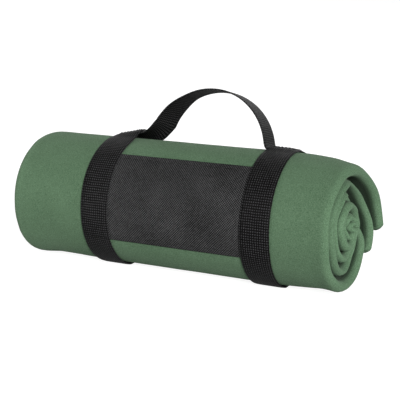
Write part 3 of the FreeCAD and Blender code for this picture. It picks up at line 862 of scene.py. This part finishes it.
def make_panel():
    """The panel's cloth, from under one strap to under the other, and the stitches in its hems."""
    angle = np.linspace(PANEL_TOP, PANEL_BOTTOM, 60)[:, None]
    x = np.linspace(panel_low.x, panel_high.x, 70)[None, :]
    grid = on_roll(x, panel_radius(x, angle), angle)
    panel = slab("front_panel_cloth", grid, PANEL_CLOTH_THICK, PANEL_CLOTH, thin_sides=False)
    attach(panel, "carrier")
    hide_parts("front_panel")

    def on_panel(x, angle, lift):
        return on_roll(x, panel_radius(x, angle) + PANEL_CLOTH_THICK / 2 + lift, angle)

    left, right = STRAPS["left"] + WEBBING + CLEAR, STRAPS["right"] - CLEAR
    paths = []
    for row in (PANEL_TOP + HEM_SEAM, PANEL_BOTTOM - HEM_SEAM):
        paths += stitches_along(on_panel, [(left, row), (right, row)], HEM_STITCH)
    thread = thread_mesh("panel_hem_thread", paths, HEM_THREAD, BLACK_THREAD)
    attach(thread, "carrier")
    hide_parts("panel_hem_stitching")


make_panel()


# ---------------------------------------------------------------- handle
FOOT_MIDDLE = STRAP_IN + THICK / 2
ARCH_X, ARCH_HEIGHT = HANDLE_MIDDLE + 1.3 * MM, 59.1 * MM      # its centre, from the roll's axis
ARCH_RADIUS = 61.8 * MM
LEFT_JOIN, RIGHT_JOIN = 157 * DEGREE, 14 * DEGREE              # where the arch meets the knees
LEFT_KNEE, RIGHT_KNEE = (-9.5 * MM, -0.5 * MM), (1.5 * MM, 0.5 * MM)
KNEE_POINTS = 10
KNEE_BLEND = 1.4                              # how late in the knee the foot becomes the arch
KNEE_TILT = 3.5 * MM
TILT_RUN, TILT_HEIGHT = 14 * MM, (74 * MM, 96 * MM)
TWIST_LEFT = 17 * DEGREE
TWIST_ZONE, TWIST_HEIGHT = (25 * MM, 50 * MM), (68 * MM, 84 * MM)
FOOT_SEAM = 11 * MM                           # half of the box of stitches on a foot


def quadratic(start, corner, end, count):
    """Points on a smooth turn from start to end that heads for the corner."""
    start, corner, end = (np.array(p) for p in (start, corner, end))
    t = np.linspace(0, 1, count)[1:-1, None]
    return (1 - t) ** 2 * start + 2 * t * (1 - t) * corner + t ** 2 * end


def arch_points(turn):
    """Points on the handle's arch: x and height from the roll's axis."""
    return np.stack([ARCH_X + ARCH_RADIUS * np.cos(turn), ARCH_HEIGHT + ARCH_RADIUS * np.sin(turn)], -1)


def handle_path():
    """The handle's middle line in its own plane, and how far each point belongs to the arch."""
    def foot(side, start, end):
        x = np.linspace(start, end, 12)
        return np.stack([x, FOOT_MIDDLE + strap_rise(side, x, HANDLE_ANGLE)], -1)

    past = 1 * MM
    left = foot("left", STRAPS["left"] + FOOT_SHORT, STRAPS["left"] + WEBBING + past)
    right = foot("right", STRAPS["right"] - past, STRAPS["right"] + WEBBING - FOOT_SHORT)
    arch = arch_points(np.linspace(LEFT_JOIN, RIGHT_JOIN, 52))
    left_corner = (arch[0][0] + LEFT_KNEE[0], left[-1][1] + LEFT_KNEE[1])
    right_corner = (arch[-1][0] + RIGHT_KNEE[0], right[0][1] + RIGHT_KNEE[1])
    left_knee = quadratic(left[-1], left_corner, arch[0], KNEE_POINTS)
    right_knee = quadratic(arch[-1], right_corner, right[0], KNEE_POINTS)
    path = np.concatenate([left, left_knee, arch, right_knee, right])
    climb = np.linspace(0, 1, KNEE_POINTS)[1:-1]
    weight = np.concatenate([np.zeros(len(left)), climb, np.ones(len(arch)), climb[::-1],
                             np.zeros(len(right))])
    return path, smooth(weight) ** KNEE_BLEND


def rise_at(x, angle):
    """How far the strap over the nearer foot stands off the roll."""
    return np.where(x < HANDLE_MIDDLE, strap_rise("left", x, angle), strap_rise("right", x, angle))


def make_handle():
    """One length of webbing: a foot under each strap, a knee above each foot, and the arch."""
    path, arch_weight = handle_path()
    across = np.linspace(-WEBBING / 2, WEBBING / 2, 13)[None, :]
    x, height = path[:, :1], path[:, 1:]
    outward = np.array([0, math.cos(HANDLE_ANGLE), math.sin(HANDLE_ANGLE)])
    sideways = np.array([0, -math.sin(HANDLE_ANGLE), math.cos(HANDLE_ANGLE)])
    base = np.array([0, AXIS_Y, AXIS_Z])
    # as a foot it hugs the roll under its strap
    around = HANDLE_ANGLE + across / FOOT_MIDDLE
    foot = on_roll(x, height - rise_at(x, HANDLE_ANGLE) + rise_at(x, around), around)
    # as an arch it is flat across, and its left leg is turned a little
    twist = TWIST_LEFT * smooth(HANDLE_MIDDLE - x, *TWIST_ZONE) * smooth(height, *TWIST_HEIGHT)
    width = np.cos(twist) * sideways - np.sin(twist) * np.array([1.0, 0, 0])
    arch = base + np.concatenate([x, 0 * x, 0 * x], 1) + height * outward
    arch = arch[:, None, :] + width[:, None, :] * across[..., None]
    weight = arch_weight[:, None, None]
    grid = foot * (1 - weight) + arch * weight
    # the left leg leaves its strap with the front edge high and the back edge low
    inner_side = STRAPS["left"] + WEBBING
    tilt = KNEE_TILT * smooth(x, inner_side, inner_side + TILT_RUN) * (1 - smooth(height, *TILT_HEIGHT))
    tilt = np.where(x < HANDLE_MIDDLE, tilt, 0)
    grid += (tilt * across / (WEBBING / 2))[..., None] * outward
    handle = slab("handle_webbing", grid[:, ::-1], THICK, WEBBING_CLOTH)
    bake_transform(handle)
    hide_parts("handle_grip", "handle_left_bend", "handle_right_bend",
                "handle_left_foot", "handle_right_foot")


def sew_foot(side):
    """A box of stitches with a cross in it, through the strap and the handle's foot."""
    def on_foot(x, angle, lift):
        return strap_surface(side, x, angle, lift)

    centre = STRAPS[side] + WEBBING / 2
    left, right = centre - FOOT_SEAM, centre + FOOT_SEAM
    spread = FOOT_SEAM / (STRAP_OUT + THICK)
    low, high = HANDLE_ANGLE - spread, HANDLE_ANGLE + spread
    paths = stitches_along(on_foot, frame_corners(left, right, low, high))
    paths += stitches_along(on_foot, [(left, low), (right, high)])
    paths += stitches_along(on_foot, [(left, high), (right, low)])
    row = thread_mesh("handle_%s_foot_thread" % side, paths, THREAD, BLACK_THREAD)
    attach(row, "carrier")
    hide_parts("handle_%s_foot_stitching" % side)


make_handle()
sew_foot("left")
sew_foot("right")


# ---------------------------------------------------------------- the blanket's edge thread
WHIP_PITCH = 3.4 * MM
WHIP_REACH = 4.0 * MM / RADIUS                # how far a stitch reaches in from the cut edge
WHIP_OVER = 0.75                              # the share of that which stays on the cloth
WHIP_TURN = np.linspace(-0.62, 0.62, 9) * math.pi
WHIP_HALF = PLY_HALF + 0.09                   # half of its height, in layers
WHIP_HIGHEST = LAYERS - 0.7                   # in layers, so that it stays under the straps
WHIP_RIGHT = 7 * MM                           # it stops this far short of the open end's fold


def make_edge_thread():
    """Whip stitches over the cut edges that show at the tail, one row for each ply."""
    paths = []
    along = WHIP_TURN / FULL_TURN * WHIP_PITCH
    rise = WHIP_HALF * np.sin(WHIP_TURN) / np.sin(WHIP_TURN[-1])
    for layer in range(LAYERS):
        leaf = 0 if layer > 3 else 1
        height = np.minimum(layer + rise, WHIP_HIGHEST)
        for x in np.arange(-HALF + LEFT_FOLD + FLAP_INSET, HALF - RIGHT_FOLD - WHIP_RIGHT, WHIP_PITCH):
            wound = cut_edge(x, layer, leaf) + WHIP_REACH * (WHIP_OVER - np.cos(WHIP_TURN))
            paths.append(place_cloth(x + along, height, wound))
    thread = thread_mesh("blanket_edge_thread", paths, THREAD, GREEN_THREAD, sides=5)
    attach(thread, "blanket")
    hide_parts("blanket_edge_stitching")


make_edge_thread()


# ---------------------------------------------------------------- floor, light and camera
SKY = 0.175                                   # the light from all round
FLOOR_HALF = 6.0
FLOOR_GREY = 0.35
FLOOR_GLOW, FLOOR_SEEN_GLOW = 0.10, 0.78      # on the object, and more where the camera sees it
CAMERA_AZIMUTH, CAMERA_ELEVATION = 26.3, 13.6
CAMERA_DISTANCE = 1.028
CAMERA_TARGET = Vector((7.8 * MM, 0, 72.7 * MM))
SENSOR, LENS = 36, 90.63                      # millimetres


def make_floor():
    """A pale floor that the camera sees as almost white, with a soft contact shadow."""
    mesh = bpy.data.meshes.new("floor")
    size = FLOOR_HALF
    corners = [(-size, -size, 0), (size, -size, 0), (size, size, 0), (-size, size, 0)]
    mesh.from_pydata(corners, [], [[0, 1, 2, 3]])
    floor = bpy.data.objects.new("floor", mesh)
    bpy.context.scene.collection.objects.link(floor)
    m = Nodes("floor")
    m.set(Base_Color=(FLOOR_GREY, FLOOR_GREY, FLOOR_GREY, 1), Roughness=0.9, Specular_IOR_Level=0.1)
    m.set(Emission_Color=(1, 1, 1, 1))
    seen = m.add("LightPath").outputs["Is Camera Ray"]
    glow = m.math("ADD", m.math("MULTIPLY", seen, FLOOR_SEEN_GLOW), FLOOR_GLOW)
    m.link(glow, m.shader.inputs["Emission Strength"])
    mesh.materials.append(m.material)


def make_world():
    """A white background that lights the object only by SKY."""
    world = bpy.data.worlds.new("studio")
    bpy.context.scene.world = world
    world.use_nodes = True
    tree = world.node_tree
    background = tree.nodes["Background"]
    background.inputs["Color"].default_value = (1, 1, 1, 1)
    seen = tree.nodes.new("ShaderNodeLightPath").outputs["Is Camera Ray"]
    strength = tree.nodes.new("ShaderNodeMath")
    strength.operation = "MULTIPLY_ADD"
    strength.inputs[1].default_value = 1 - SKY
    strength.inputs[2].default_value = SKY
    tree.links.new(seen, strength.inputs[0])
    tree.links.new(strength.outputs[0], background.inputs["Strength"])


def direction(azimuth, elevation):
    """Out from the object. Azimuth 0 is straight in front, 90 degrees the right end."""
    azimuth, elevation = azimuth * DEGREE, elevation * DEGREE
    return Vector((
        math.sin(azimuth) * math.cos(elevation),
        -math.cos(azimuth) * math.cos(elevation),
        math.sin(elevation),
    ))


def add_facing(name, data, back):
    """A lamp or camera that looks along the opposite of back."""
    thing = bpy.data.objects.new(name, data)
    bpy.context.scene.collection.objects.link(thing)
    thing.rotation_mode = "QUATERNION"
    thing.rotation_quaternion = (-back).to_track_quat("-Z", "Y")
    return thing


def soft_sun(name, azimuth, elevation, spread, strength):
    """A large distant soft light."""
    light = bpy.data.lights.new(name, "SUN")
    light.energy = strength
    light.angle = spread * DEGREE
    add_facing(name, light, direction(azimuth, elevation))


def make_camera():
    """A long lens in front of the right end, a little above it."""
    data = bpy.data.cameras.new("camera")
    data.sensor_width = SENSOR
    data.lens = LENS
    back = direction(CAMERA_AZIMUTH, CAMERA_ELEVATION)
    camera = add_facing("camera", data, back)
    camera.location = CAMERA_TARGET + back * CAMERA_DISTANCE
    bpy.context.scene.camera = camera


make_floor()
make_world()
soft_sun("key", azimuth=42, elevation=20, spread=22, strength=3.9)
soft_sun("fill", azimuth=-35, elevation=12, spread=60, strength=0.85)
soft_sun("back", azimuth=200, elevation=8, spread=80, strength=1.2)
make_camera()
bpy.context.scene.view_settings.view_transform = "Standard"
